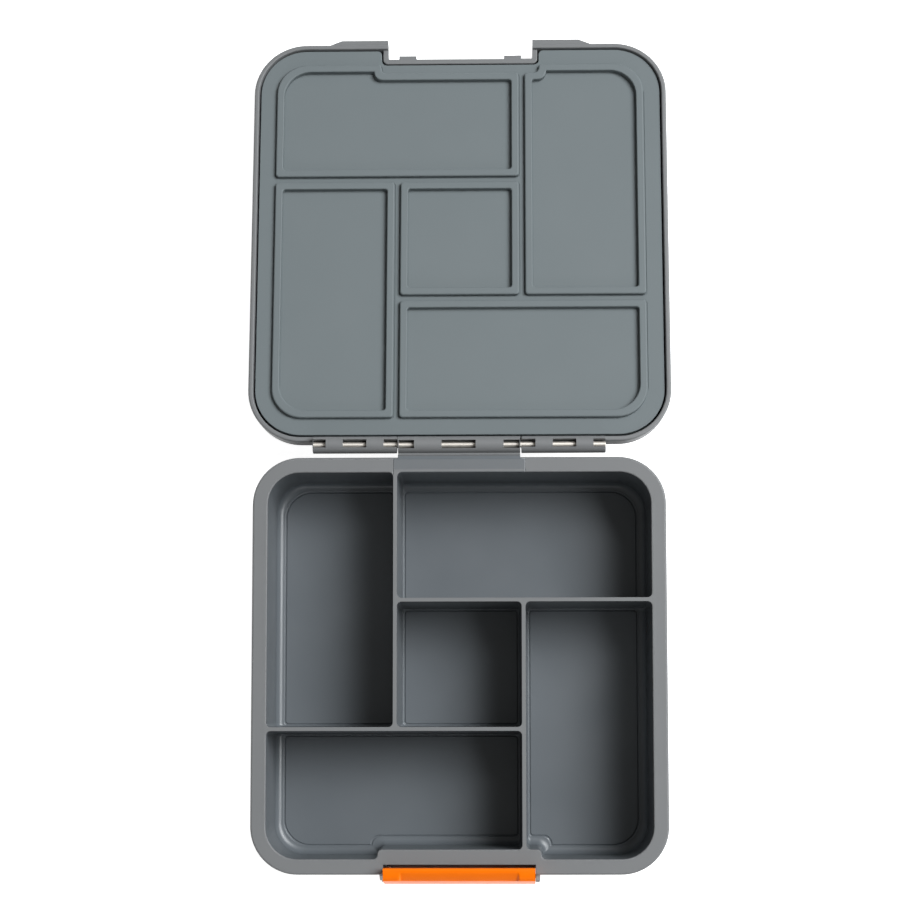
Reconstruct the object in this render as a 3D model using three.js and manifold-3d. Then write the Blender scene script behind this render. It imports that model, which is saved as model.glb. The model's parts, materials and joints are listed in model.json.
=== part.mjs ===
// Bento lunch box with five compartments, lying open: millimetres, +Z up.
//
// X runs along the hinge, +Y points from the latch to the hinge, and z = 0 is the surface the box
// stands on. The origin is the centre of the base's underside. The lid is drawn in its closed place
// and then swung about the hinge until its far edge rests on that same surface.

import * as THREE from "three";
import { mergeVertices } from "three/addons/utils/BufferGeometryUtils.js";
import Module from "manifold-3d";

const wasm = await Module();
wasm.setup();

// ---- Driving dimensions -------------------------------------------------------------------------

const GAP = 0.3; // between pieces that touch on the real box

const RIM_Z = 42; // flat top of the base, where the seal presses
const BASE_HALF = 89.5; // half the width, and half the length, of the rim
const BASE_CORNER = 20.5;
const BASE_DRAFT = 1.8; // the outer wall leans in by this much from rim to table
const BASE_BOTTOM_ROUND = 2;
const SKIRT_WALL = 2.4; // the outer wall, which hangs from the rim like an apron
const RIM_DEPTH = 3; // thickness of the rim between the outer and the inner wall

const TUB_HALF = 82.85; // half the width across the compartments, at the rim
const TUB_CORNER = 13.8;
const TUB_WALL = 1.9;
const FLOOR_Z = 2.4; // top of the compartment floors
const WALL_DRAFT = 1.5;
const DIVIDER_DRAFT = 1.5;
const COVE_RADIUS = 3.5; // between the outer walls and the floor
const DIVIDER_CENTRE = 27.7;
const DIVIDER_HALF = 0.875; // half the thickness at the top
const CELL_CORNER = 1.5;

const BULGE_HALF = 35; // the front wall steps in behind the latch
const BULGE_DEPTH = 4.1;
const RECESS_HALF = 32.6; // pocket in the front wall that holds the latch
const RECESS_Y = -85.1;
const RECESS_BOTTOM_Z = 7.5;
const EAR_THICKNESS = 1.8;
const EAR_TOP_Z = RIM_Z - 6;
const EAR_REACH = 2.8; // how far the ears stand out from the wall

const HINGE_Y = 95.2;
const HINGE_Z = RIM_Z - 3;
const BARREL_RADIUS = 3.7;
const HINGE_PIN_RADIUS = 1.2;
const HINGE_BORE_RADIUS = 1.45;
const BASE_BARREL_HALF = 26.5;
const LID_BARREL_INNER = 27;
const LID_BARREL_OUTER = 63.6;
const WINDOW_HALF = 1.8; // half the width of the slots that show the pin
const WINDOW_DEPTH_PAST_AXIS = 1.3;
const BASE_WINDOWS = [[-26.2, -19.5], [-7.6, 7.2], [19.3, 26.3]];
const LID_WINDOWS = [
  [-63.4, -57.9], [-50.5, -40.2], [-32.8, -26.8],
  [27, 33.1], [40.6, 50.8], [58.2, 63.7],
];

const LID_HALF = 92.8;
const LID_CENTRE_Y = 0.35;
const LID_CORNER = 23.5;
const LID_TOP_Z = RIM_Z + 13;
const LID_EDGE_Z = RIM_Z - 1.2;
const LID_WALL = 2.2;
const LID_DRAFT = 1.2;
const LID_TOP_ROUND = 5;
const LID_RIBS = [-45, 0, 45]; // stiffening ribs under the top, in both directions
const LID_RIB_THICKNESS = 1.5;
const LID_OPEN_DEG = 187.3;

const NOTCH_HALF = RECESS_HALF; // gap in the lid's front skirt for the latch
const NOTCH_Y = -85.7;
const NOTCH_WALL = 2.3;
const TAB_X = [19.8, 27.6]; // two catches on the notch wall, under the latch's lip
const TAB_REACH = 1.7;
const TAB_BOTTOM_Z = RIM_Z + 0.6;
const TAB_HEIGHT = 2.4;
const BROW_REACH = 2; // raised guards on the skirt, on both sides of the latch
const BROW_END = 53.5;
const BROW_SLOPE_END = 58.6;
const BROW_TOP_Z = RIM_Z + 8;

const SEAL_HALF = 89.4;
const SEAL_THICKNESS = 3;
const SEAL_NOTCH_HALF = 36.3;
const SEAL_NOTCH_Y = -82.4;
const RIB_CLEARANCE = 0.45; // between a rib and the compartment wall it enters
const RIB_WIDTH = 3;
const RIB_DEPTH = 2;
const PANEL_RECESS = 0.6; // the mat is thinner by this much inside each rib

const LATCH_HALF = 32;
const LATCH_TOP_Z = RIM_Z + 7;
const LATCH_LIP_Y = -86.3;
const LATCH_LIP_BOTTOM_Z = RIM_Z + 3.5;
const LATCH_PIVOT_Y = -91.2;
const LATCH_PIVOT_Z = RIM_Z - 30;
const LATCH_BOSS_RADIUS = 2.6;
// [y, z] points down the latch's outer face, from its top edge, and up its inner face, to its lip
const LATCH_OUTER_FACE = [[-91.5, LATCH_TOP_Z - 1.4], [-92.9, RIM_Z - 3], [-94, RIM_Z - 14]];
const LATCH_INNER_FACE = [[-91.6, RIM_Z - 14], [-90.5, RIM_Z - 3], [-89.2, LATCH_LIP_BOTTOM_Z]];
const LATCH_CHEEK = 2;
const LATCH_PIN_RADIUS = 1;
const LATCH_BORE_RADIUS = 1.25;

const BIG_ARC_STEPS = 8; // chords in a quarter turn
const SMALL_ARC_STEPS = 3;
const BIG_RADIUS = 5;
const OVERSHOOT = 1; // how far a cutting tool runs past the face it cuts

// ---- Turning geometries into solids and back ----------------------------------------------------

function solidOf(geometry) {
  geometry.deleteAttribute("normal");
  geometry.deleteAttribute("uv");
  const merged = mergeVertices(geometry, 1e-4);
  const mesh = new wasm.Mesh({
    numProp: 3,
    vertProperties: merged.attributes.position.array,
    triVerts: new Uint32Array(merged.index.array),
  });
  return new wasm.Manifold(mesh);
}

function geometryOf(solid) {
  const mesh = solid.getMesh();
  const geometry = new THREE.BufferGeometry();
  geometry.setAttribute("position", new THREE.BufferAttribute(mesh.vertProperties, 3));
  geometry.setIndex(new THREE.BufferAttribute(mesh.triVerts, 1));
  geometry.computeVertexNormals();
  return geometry;
}

const joined = (solids) => solids.reduce((whole, solid) => whole.add(solid));
const cutBy = (solid, tools) => tools.reduce((whole, tool) => whole.subtract(tool), solid);

// ---- Outlines -----------------------------------------------------------------------------------

// An outline is a list of corners {x, y, r}, counter-clockwise, with straight axis-parallel sides.
// insets[i] moves side i, from corner i to corner i + 1, towards the inside.
function insetCorners(corners, insets) {
  const count = corners.length;
  return corners.map((corner, i) => {
    const before = corners[(i + count - 1) % count];
    const after = corners[(i + 1) % count];
    const sideIn = new THREE.Vector2(corner.x - before.x, corner.y - before.y).normalize();
    const sideOut = new THREE.Vector2(after.x - corner.x, after.y - corner.y).normalize();
    const insetIn = insets[(i + count - 1) % count];
    const insetOut = insets[i];
    const turnsLeft = sideIn.cross(sideOut) > 0;
    const radiusChange = Math.min(insetIn, insetOut) * (turnsLeft ? -1 : 1);
    return {
      x: corner.x - sideIn.y * insetIn - sideOut.y * insetOut,
      y: corner.y + sideIn.x * insetIn + sideOut.x * insetOut,
      r: Math.max(corner.r + radiusChange, 0.3),
      steps: corner.r > BIG_RADIUS ? BIG_ARC_STEPS : SMALL_ARC_STEPS,
    };
  });
}

const insetAll = (corners, inset) => insetCorners(corners, corners.map(() => inset));

// The points of an outline, with each corner rounded by an arc of its own radius.
function roundedPoints(corners) {
  const count = corners.length;
  return corners.flatMap((corner, i) => {
    const before = corners[(i + count - 1) % count];
    const after = corners[(i + 1) % count];
    const here = new THREE.Vector2(corner.x, corner.y);
    const toBefore = new THREE.Vector2(before.x, before.y).sub(here);
    const toAfter = new THREE.Vector2(after.x, after.y).sub(here);
    const room = Math.min(toBefore.length(), toAfter.length()) - 0.4;
    const radius = Math.min(corner.r, room);
    const start = here.clone().addScaledVector(toBefore.normalize(), radius);
    const end = here.clone().addScaledVector(toAfter.normalize(), radius);
    const centre = start.clone().add(end).sub(here);
    return Array.from({ length: corner.steps + 1 }, (_, k) => {
      const turn = ((k / corner.steps) * Math.PI) / 2;
      return centre.clone()
        .addScaledVector(start.clone().sub(centre), Math.cos(turn))
        .addScaledVector(end.clone().sub(centre), Math.sin(turn));
    });
  });
}

// A square outline; with a step, its front side is set back over the middle.
function squareCorners(half, radius, centreY = 0, step = null) {
  const corners = [{ x: -half, y: centreY - half, r: radius }];
  if (step) {
    corners.push({ x: -step.half, y: centreY - half, r: step.r });
    corners.push({ x: -step.half, y: step.y, r: step.r });
    corners.push({ x: step.half, y: step.y, r: step.r });
    corners.push({ x: step.half, y: centreY - half, r: step.r });
  }
  corners.push({ x: half, y: centreY - half, r: radius });
  corners.push({ x: half, y: centreY + half, r: radius });
  corners.push({ x: -half, y: centreY + half, r: radius });
  return corners;
}

// ---- Basic solids -------------------------------------------------------------------------------

function prism(points, low, high) {
  const shape = new THREE.Shape(points);
  const geometry = new THREE.ExtrudeGeometry(shape, { depth: high - low, bevelEnabled: false });
  return solidOf(geometry.translate(0, 0, low));
}

// A solid whose outline changes with height. outlineAt(inset) gives its points, and each level is
// {z, inset}, from the lowest up.
function loft(outlineAt, levels) {
  const outlines = levels.map((level) => outlineAt(level.inset));
  const steps = levels.length - 1;
  const shape = new THREE.Shape(outlines[0]);
  const geometry = new THREE.ExtrudeGeometry(shape, { depth: steps, steps, bevelEnabled: false });
  const position = geometry.attributes.position;
  for (let i = 0; i < position.count; i += 1) {
    const level = Math.round(position.getZ(i));
    const corner = new THREE.Vector2(position.getX(i), position.getY(i));
    const index = outlines[0].findIndex((point) => point.distanceTo(corner) < 1e-3);
    const place = outlines[level][index];
    position.setXYZ(i, place.x, place.y, levels[level].z);
  }
  return solidOf(geometry);
}

// Levels of a quarter round of the given radius, from where it is deepest to where it ends.
function roundLevels(radius, steps = 4) {
  return Array.from({ length: steps + 1 }, (_, k) => {
    const turn = ((k / steps) * Math.PI) / 2;
    return { rise: radius * (1 - Math.cos(turn)), inset: radius * (1 - Math.sin(turn)) };
  });
}

function box(x, y, z) {
  const geometry = new THREE.BoxGeometry(x[1] - x[0], y[1] - y[0], z[1] - z[0]);
  return solidOf(geometry.translate((x[0] + x[1]) / 2, (y[0] + y[1]) / 2, (z[0] + z[1]) / 2));
}

// A round bar along X.
function bar(x, y, z, radius, sides = 24) {
  const geometry = new THREE.CylinderGeometry(radius, radius, x[1] - x[0], sides);
  return solidOf(geometry.rotateZ(Math.PI / 2).translate((x[0] + x[1]) / 2, y, z));
}

// A profile in the Y-Z plane, pulled along X. Its points are THREE.Vector2(y, z).
function profileAlongX(points, x) {
  const shape = new THREE.Shape(points);
  const geometry = new THREE.ExtrudeGeometry(shape, { depth: x[1] - x[0], bevelEnabled: false });
  geometry.rotateZ(Math.PI / 2).rotateY(Math.PI / 2);
  return solidOf(geometry.translate(x[0], 0, 0));
}

const mirrored = (range) => [-range[1], -range[0]];
const bothSides = (range) => [range, mirrored(range)];

// ---- Compartments: a pinwheel of four round a square --------------------------------------------

const NEAR = DIVIDER_CENTRE - DIVIDER_HALF;
const FAR = DIVIDER_CENTRE + DIVIDER_HALF;
const BULGE_Y = -TUB_HALF + BULGE_DEPTH;

const at = (x, y, r = CELL_CORNER) => ({ x, y, r });

// Each side is a "wall" of the box or a "divider".
const CELLS = {
  left_back: {
    corners: [
      at(-TUB_HALF, -NEAR), at(-FAR, -NEAR), at(-FAR, TUB_HALF),
      at(-TUB_HALF, TUB_HALF, TUB_CORNER),
    ],
    sides: ["divider", "divider", "wall", "wall"],
  },
  right_back: {
    corners: [at(-NEAR, FAR), at(TUB_HALF, FAR), at(TUB_HALF, TUB_HALF, TUB_CORNER), at(-NEAR, TUB_HALF)],
    sides: ["divider", "wall", "wall", "divider"],
  },
  centre: {
    corners: [at(-NEAR, -NEAR), at(NEAR, -NEAR), at(NEAR, NEAR), at(-NEAR, NEAR)],
    sides: ["divider", "divider", "divider", "divider"],
  },
  right_front: {
    corners: [
      at(FAR, BULGE_Y), at(BULGE_HALF, BULGE_Y), at(BULGE_HALF, -TUB_HALF),
      at(TUB_HALF, -TUB_HALF, TUB_CORNER), at(TUB_HALF, NEAR), at(FAR, NEAR),
    ],
    sides: ["wall", "wall", "wall", "wall", "divider", "divider"],
  },
  left_front: {
    corners: [
      at(-TUB_HALF, -TUB_HALF, TUB_CORNER), at(-BULGE_HALF, -TUB_HALF), at(-BULGE_HALF, BULGE_Y),
      at(NEAR, BULGE_Y), at(NEAR, -FAR), at(-TUB_HALF, -FAR),
    ],
    sides: ["wall", "wall", "wall", "divider", "divider", "wall"],
  },
};

// The space of one compartment: drafted walls, and a cove where the box's walls meet the floor.
function cellSpace(cell) {
  const depth = RIM_Z - FLOOR_Z;
  const outlineAt = ({ wall, divider }) => {
    const insets = cell.sides.map((side) => (side === "wall" ? wall : divider));
    return roundedPoints(insetCorners(cell.corners, insets));
  };
  const draftAt = (rise) => (depth - rise) / depth;
  const levels = roundLevels(COVE_RADIUS).map(({ rise, inset }) => ({
    z: FLOOR_Z + rise,
    inset: { wall: WALL_DRAFT * draftAt(rise) + inset, divider: DIVIDER_DRAFT * draftAt(rise) },
  }));
  levels.push({ z: RIM_Z, inset: { wall: 0, divider: 0 } });
  levels.push({ z: RIM_Z + OVERSHOOT, inset: { wall: 0, divider: 0 } });
  return loft(outlineAt, levels);
}

// ---- Base ---------------------------------------------------------------------------------------

function baseDraft(z) {
  return BASE_DRAFT * (1 - z / RIM_Z);
}

// The base's outer form, moved inwards by inset, from the height low up to the rim.
function baseForm(inset, low, round, corners) {
  const outlineAt = (amount) => roundedPoints(insetAll(corners, amount));
  const levels = roundLevels(round).map((level) => ({
    z: low + level.rise,
    inset: inset + baseDraft(low + level.rise) + level.inset,
  }));
  levels.push({ z: RIM_Z, inset });
  return loft(outlineAt, levels);
}

function hingeWindows(windows, side) {
  const y = [HINGE_Y - WINDOW_HALF, HINGE_Y + WINDOW_HALF];
  const far = HINGE_Z + side * (BARREL_RADIUS + OVERSHOOT);
  const near = HINGE_Z - side * WINDOW_DEPTH_PAST_AXIS;
  return windows.map((x) => box(x, y, [Math.min(near, far), Math.max(near, far)]));
}

function latchEar(x) {
  const back = -BASE_HALF + BASE_DRAFT + SKIRT_WALL / 2;
  const low = LATCH_PIVOT_Z - LATCH_BOSS_RADIUS - 1;
  const arc = Array.from({ length: 13 }, (_, k) => {
    const turn = Math.PI / 2 + (k / 12) * Math.PI;
    const y = LATCH_PIVOT_Y + LATCH_BOSS_RADIUS * Math.cos(turn);
    return new THREE.Vector2(y, LATCH_PIVOT_Z + LATCH_BOSS_RADIUS * Math.sin(turn));
  });
  const points = [
    new THREE.Vector2(back, low),
    new THREE.Vector2(back, EAR_TOP_Z),
    new THREE.Vector2(-BASE_HALF - 0.4, EAR_TOP_Z),
    new THREE.Vector2(-BASE_HALF - EAR_REACH, EAR_TOP_Z - 6),
    ...arc,
  ];
  return profileAlongX(points.reverse(), x);
}

// The room under the rim, open to the table, between the outer wall and the tub.
function underRim() {
  const pocket = { half: RECESS_HALF + SKIRT_WALL, y: RECESS_Y + SKIRT_WALL, r: 1 };
  const skirtCorners = squareCorners(BASE_HALF - SKIRT_WALL, BASE_CORNER - SKIRT_WALL, 0, pocket);
  const insideSkirt = loft((inset) => roundedPoints(insetAll(skirtCorners, inset)), [
    { z: -OVERSHOOT, inset: baseDraft(0) + BASE_BOTTOM_ROUND },
    { z: BASE_BOTTOM_ROUND, inset: baseDraft(BASE_BOTTOM_ROUND) },
    { z: RIM_Z - RIM_DEPTH, inset: baseDraft(RIM_Z - RIM_DEPTH) },
  ]);
  const bulge = { half: BULGE_HALF, y: BULGE_Y, r: CELL_CORNER };
  const tubCorners = squareCorners(TUB_HALF, TUB_CORNER, 0, bulge);
  const tub = loft((inset) => roundedPoints(insetAll(tubCorners, inset)), [
    { z: -OVERSHOOT, inset: WALL_DRAFT - TUB_WALL + COVE_RADIUS },
    { z: COVE_RADIUS, inset: WALL_DRAFT - TUB_WALL },
    { z: RIM_Z, inset: -TUB_WALL },
  ]);
  return insideSkirt.subtract(tub);
}

function baseTub() {
  const outer = baseForm(0, 0, BASE_BOTTOM_ROUND, squareCorners(BASE_HALF, BASE_CORNER));
  const latchPocket = box(
    [-RECESS_HALF, RECESS_HALF], [-BASE_HALF - OVERSHOOT, RECESS_Y], [RECESS_BOTTOM_Z, RIM_Z + OVERSHOOT],
  );
  const bracket = box(
    [-BASE_BARREL_HALF, BASE_BARREL_HALF], [BASE_HALF - SKIRT_WALL, HINGE_Y], [HINGE_Z - 2.5, RIM_Z],
  );
  const barrel = bar([-BASE_BARREL_HALF, BASE_BARREL_HALF], HINGE_Y, HINGE_Z, BARREL_RADIUS);
  const bore = bar(
    [-BASE_BARREL_HALF - OVERSHOOT, BASE_BARREL_HALF + OVERSHOOT], HINGE_Y, HINGE_Z, HINGE_BORE_RADIUS,
  );
  const ears = bothSides([RECESS_HALF, RECESS_HALF + EAR_THICKNESS]).map(latchEar);
  const pinReach = RECESS_HALF + EAR_THICKNESS + OVERSHOOT;
  const pinHole = bar([-pinReach, pinReach], LATCH_PIVOT_Y, LATCH_PIVOT_Z, LATCH_BORE_RADIUS);
  const body = joined([cutBy(outer, [latchPocket, underRim()]), bracket, barrel, ...ears]);
  const spaces = Object.values(CELLS).map(cellSpace);
  return cutBy(body, [...spaces, bore, pinHole, ...hingeWindows(BASE_WINDOWS, 1)]);
}

// ---- Lid, drawn closed --------------------------------------------------------------------------

function lidForm(inset, low, high, round) {
  const corners = squareCorners(LID_HALF, LID_CORNER, LID_CENTRE_Y);
  const outlineAt = (amount) => roundedPoints(insetAll(corners, amount));
  const draftAt = (z) => (LID_DRAFT * (z - LID_EDGE_Z)) / (LID_TOP_Z - LID_EDGE_Z);
  const levels = roundLevels(round).reverse().map((level) => ({
    z: high - level.rise,
    inset: inset + draftAt(high - level.rise) + level.inset,
  }));
  levels.unshift({ z: low, inset });
  return loft(outlineAt, levels);
}

// The latch's notch: a wall behind it and one at each end, from the seal up to the top.
function notchWalls(outer) {
  const half = NOTCH_HALF + NOTCH_WALL;
  const y = [LID_CENTRE_Y - LID_HALF - OVERSHOOT, NOTCH_Y + NOTCH_WALL];
  return box([-half, half], y, [RIM_Z + GAP, LID_TOP_Z + OVERSHOOT]).intersect(outer);
}

function brow(side) {
  const front = LID_CENTRE_Y - LID_HALF;
  const corners = [
    [NOTCH_HALF, front + LID_WALL], [NOTCH_HALF, front - BROW_REACH], [BROW_END, front - BROW_REACH],
    [BROW_SLOPE_END, front], [BROW_SLOPE_END, front + LID_WALL],
  ];
  const points = corners.map(([x, y]) => new THREE.Vector2(side * x, y));
  return prism(side > 0 ? points : points.reverse(), LID_EDGE_Z, BROW_TOP_Z);
}

function lidRibs() {
  const reach = LID_HALF - LID_TOP_ROUND;
  const z = [RIM_Z + 2 * GAP + SEAL_THICKNESS, LID_TOP_Z - LID_WALL / 2];
  const half = LID_RIB_THICKNESS / 2;
  const across = LID_RIBS.map((y) => box([-reach, reach], [y - half, y + half], z));
  const along = LID_RIBS.map((x) => {
    const front = Math.abs(x) < NOTCH_HALF ? NOTCH_Y + NOTCH_WALL / 2 : LID_CENTRE_Y - reach;
    return box([x - half, x + half], [front, LID_CENTRE_Y + reach], z);
  });
  return [...across, ...along];
}

function lidShell() {
  const outer = lidForm(0, LID_EDGE_Z, LID_TOP_Z, LID_TOP_ROUND);
  const inner = lidForm(LID_WALL, LID_EDGE_Z - OVERSHOOT, LID_TOP_Z - LID_WALL, LID_TOP_ROUND - LID_WALL);
  const barrels = bothSides([LID_BARREL_INNER, LID_BARREL_OUTER]).flatMap((x) => [
    bar(x, HINGE_Y, HINGE_Z, BARREL_RADIUS),
    box(x, [LID_CENTRE_Y + LID_HALF - LID_WALL / 2, HINGE_Y], [HINGE_Z, HINGE_Z + BARREL_RADIUS]),
  ]);
  const tabs = bothSides(TAB_X).map((x) =>
    box(x, [NOTCH_Y - TAB_REACH, NOTCH_Y + NOTCH_WALL / 2], [TAB_BOTTOM_Z, TAB_BOTTOM_Z + TAB_HEIGHT]),
  );
  const notch = box(
    [-NOTCH_HALF, NOTCH_HALF], [-LID_HALF - 2 * BROW_REACH, NOTCH_Y],
    [LID_EDGE_Z - OVERSHOOT, LID_TOP_Z + OVERSHOOT],
  );
  const bracketRelief = box(
    [-LID_BARREL_INNER, LID_BARREL_INNER], [BASE_HALF, HINGE_Y + BARREL_RADIUS],
    [LID_EDGE_Z - OVERSHOOT, HINGE_Z + BARREL_RADIUS + GAP],
  );
  const boreReach = LID_BARREL_OUTER + OVERSHOOT;
  const bore = bar([-boreReach, boreReach], HINGE_Y, HINGE_Z, HINGE_BORE_RADIUS);
  const shell = joined([outer.subtract(inner), notchWalls(outer), ...lidRibs()]);
  const body = joined([cutBy(shell, [bracketRelief]), ...barrels, brow(1), brow(-1)]);
  return cutBy(body, [notch, bore, ...hingeWindows(LID_WINDOWS, -1)]).add(joined(tabs));
}

function lidSeal() {
  const step = { half: SEAL_NOTCH_HALF, y: SEAL_NOTCH_Y, r: 2.2 };
  const corners = squareCorners(SEAL_HALF, BASE_CORNER, 0, step);
  const low = RIM_Z + GAP;
  const mat = prism(roundedPoints(insetAll(corners, 0)), low, low + SEAL_THICKNESS);
  const ribLow = RIM_Z - RIB_DEPTH;
  const ribPrisms = (inset, bottom, top) =>
    Object.values(CELLS).map((cell) => prism(roundedPoints(insetAll(cell.corners, inset)), bottom, top));
  const ribs = ribPrisms(RIB_CLEARANCE, ribLow, low + SEAL_THICKNESS / 2);
  const panels = ribPrisms(RIB_CLEARANCE + RIB_WIDTH, ribLow - OVERSHOOT, low + PANEL_RECESS);
  return cutBy(joined([mat, ...ribs]), panels);
}

// ---- Latch and pins -----------------------------------------------------------------------------

// The latch's section: a lip that hooks over the lid's tabs, a bowed plate and a boss for its pin.
function latchProfile() {
  const outerFace = new THREE.SplineCurve([
    ...LATCH_OUTER_FACE.map(([y, z]) => new THREE.Vector2(y, z)),
    new THREE.Vector2(LATCH_PIVOT_Y - LATCH_BOSS_RADIUS, LATCH_PIVOT_Z),
  ]).getPoints(10);
  const boss = Array.from({ length: 9 }, (_, k) => {
    const turn = Math.PI + ((k + 1) / 10) * Math.PI * 1.2;
    const y = LATCH_PIVOT_Y + LATCH_BOSS_RADIUS * Math.cos(turn);
    return new THREE.Vector2(y, LATCH_PIVOT_Z + LATCH_BOSS_RADIUS * Math.sin(turn));
  });
  const innerFace = new THREE.SplineCurve([
    new THREE.Vector2(LATCH_PIVOT_Y + 0.4, LATCH_PIVOT_Z + LATCH_BOSS_RADIUS + 0.2),
    ...LATCH_INNER_FACE.map(([y, z]) => new THREE.Vector2(y, z)),
  ]).getPoints(8);
  const lip = [
    new THREE.Vector2(LATCH_LIP_Y - 0.6, LATCH_LIP_BOTTOM_Z),
    new THREE.Vector2(LATCH_LIP_Y, LATCH_LIP_BOTTOM_Z + 0.8),
    new THREE.Vector2(LATCH_LIP_Y, LATCH_TOP_Z - 0.7),
    new THREE.Vector2(LATCH_LIP_Y - 0.6, LATCH_TOP_Z),
    new THREE.Vector2(LATCH_LIP_Y - 3, LATCH_TOP_Z),
  ];
  return [...outerFace, ...boss, ...innerFace, ...lip];
}

function latchCheek(x) {
  const points = [
    new THREE.Vector2(LATCH_LIP_Y - 0.2, LATCH_LIP_BOTTOM_Z + 1.5),
    new THREE.Vector2(-91.2, LATCH_LIP_BOTTOM_Z + 1.5),
    new THREE.Vector2(-92.8, RIM_Z - 14),
    new THREE.Vector2(LATCH_PIVOT_Y, LATCH_PIVOT_Z),
    new THREE.Vector2(LATCH_PIVOT_Y + 1.8, LATCH_PIVOT_Z + 0.8),
    new THREE.Vector2(LATCH_LIP_Y - 0.2, RIM_Z - 20),
  ];
  return profileAlongX(points, x);
}

function frontLatch() {
  const half = LATCH_HALF;
  const plate = profileAlongX(latchProfile(), [-half, half]);
  const cheeks = bothSides([half - LATCH_CHEEK, half]).map(latchCheek);
  const bore = bar([-half - OVERSHOOT, half + OVERSHOOT], LATCH_PIVOT_Y, LATCH_PIVOT_Z, LATCH_BORE_RADIUS);
  return joined([plate, ...cheeks]).subtract(bore);
}

function hingePin() {
  return bar([-LID_BARREL_OUTER, LID_BARREL_OUTER], HINGE_Y, HINGE_Z, HINGE_PIN_RADIUS);
}

function latchPin() {
  const reach = RECESS_HALF + EAR_THICKNESS;
  return bar([-reach, reach], LATCH_PIVOT_Y, LATCH_PIVOT_Z, LATCH_PIN_RADIUS, 16);
}

// ---- Assembly -----------------------------------------------------------------------------------

const PLASTIC = new THREE.MeshStandardMaterial({ color: 0x87888a, roughness: 0.42, metalness: 0 });
const SILICONE = new THREE.MeshStandardMaterial({ color: 0x7d8487, roughness: 0.62, metalness: 0 });
const ORANGE = new THREE.MeshStandardMaterial({ color: 0xf57a0f, roughness: 0.35, metalness: 0 });
const STEEL = new THREE.MeshStandardMaterial({ color: 0xc9c4ba, roughness: 0.25, metalness: 1 });

function piece(name, solid, material) {
  const mesh = new THREE.Mesh(geometryOf(solid), material);
  mesh.name = name;
  return mesh;
}

function openLid() {
  const swing = new THREE.Group();
  swing.position.set(0, HINGE_Y, HINGE_Z);
  swing.rotation.x = THREE.MathUtils.degToRad(-LID_OPEN_DEG);
  const drawnClosed = new THREE.Group();
  drawnClosed.position.set(0, -HINGE_Y, -HINGE_Z);
  drawnClosed.add(piece("lid_shell", lidShell(), PLASTIC));
  drawnClosed.add(piece("lid_seal", lidSeal(), SILICONE));
  swing.add(drawnClosed);
  return swing;
}

const lunchBox = new THREE.Group();
lunchBox.add(piece("base_tub", baseTub(), PLASTIC));
lunchBox.add(piece("hinge_pin", hingePin(), STEEL));
lunchBox.add(piece("latch_pin", latchPin(), STEEL));
lunchBox.add(piece("front_latch", frontLatch(), ORANGE));
lunchBox.add(openLid());

export default lunchBox;
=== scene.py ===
import json
import math

import bmesh
import bpy
from mathutils import Matrix, Vector


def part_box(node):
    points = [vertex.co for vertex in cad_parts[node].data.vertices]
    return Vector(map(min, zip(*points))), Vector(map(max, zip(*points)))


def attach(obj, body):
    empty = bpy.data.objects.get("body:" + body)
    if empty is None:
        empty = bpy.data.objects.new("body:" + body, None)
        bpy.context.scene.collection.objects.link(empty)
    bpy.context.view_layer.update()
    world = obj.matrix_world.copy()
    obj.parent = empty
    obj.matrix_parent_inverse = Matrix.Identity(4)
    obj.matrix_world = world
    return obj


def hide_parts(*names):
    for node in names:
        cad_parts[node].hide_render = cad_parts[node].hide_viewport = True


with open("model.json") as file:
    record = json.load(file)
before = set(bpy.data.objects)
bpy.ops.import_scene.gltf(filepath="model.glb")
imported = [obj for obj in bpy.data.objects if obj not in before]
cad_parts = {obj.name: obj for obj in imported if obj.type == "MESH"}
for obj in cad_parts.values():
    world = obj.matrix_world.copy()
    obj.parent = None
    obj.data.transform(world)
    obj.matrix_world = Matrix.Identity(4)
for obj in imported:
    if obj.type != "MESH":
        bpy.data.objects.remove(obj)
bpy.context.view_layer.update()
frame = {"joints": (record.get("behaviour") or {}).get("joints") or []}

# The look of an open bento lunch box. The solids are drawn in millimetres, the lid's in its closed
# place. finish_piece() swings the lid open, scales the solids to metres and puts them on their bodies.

MM = 0.001
JOINTS = {joint["name"]: joint for joint in frame["joints"]}


def box_mm(node):
    low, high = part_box(node)
    return low / MM, high / MM


# ---- Sizes, in millimetres -----------------------------------------------------------------------

HINGE = Vector(JOINTS["lid_hinge"]["pos_m"]) / MM
LID_OPEN_DEG = JOINTS["lid_hinge"]["range_deg"][1]
PIVOT = Vector(JOINTS["latch_pivot"]["pos_m"]) / MM

GAP = 0.3  # between pieces that touch on the real box
RIM_Z = HINGE.z + 3
LAND_RISE = 0.2  # the rim steps up by this much round the compartments
LAND_REACH = 1.9
LAND_SLOPE = 0.6  # width of the slope at the step
PAD_HALF = 28.6  # a pad on the back rim, in front of the hinge, just below the land
PAD_DROP = 0.05
BASE_HALF = box_mm("base_tub")[1].x
BASE_CORNER = 20.5
BASE_DRAFT = 1.8
BASE_BOTTOM_ROUND = 2
RIM_ROUND = 1.0
SKIRT_WALL = 2.4  # the outer wall, which hangs from the rim
RIM_DEPTH = 3

TUB_HALF = 82.85  # half the width across the compartments
TUB_CORNER = 13.8
TUB_WALL = 1.9
FLOOR_Z = 2.4
GROOVE_DEPTH = 0.4  # a fine groove runs round each floor
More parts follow.
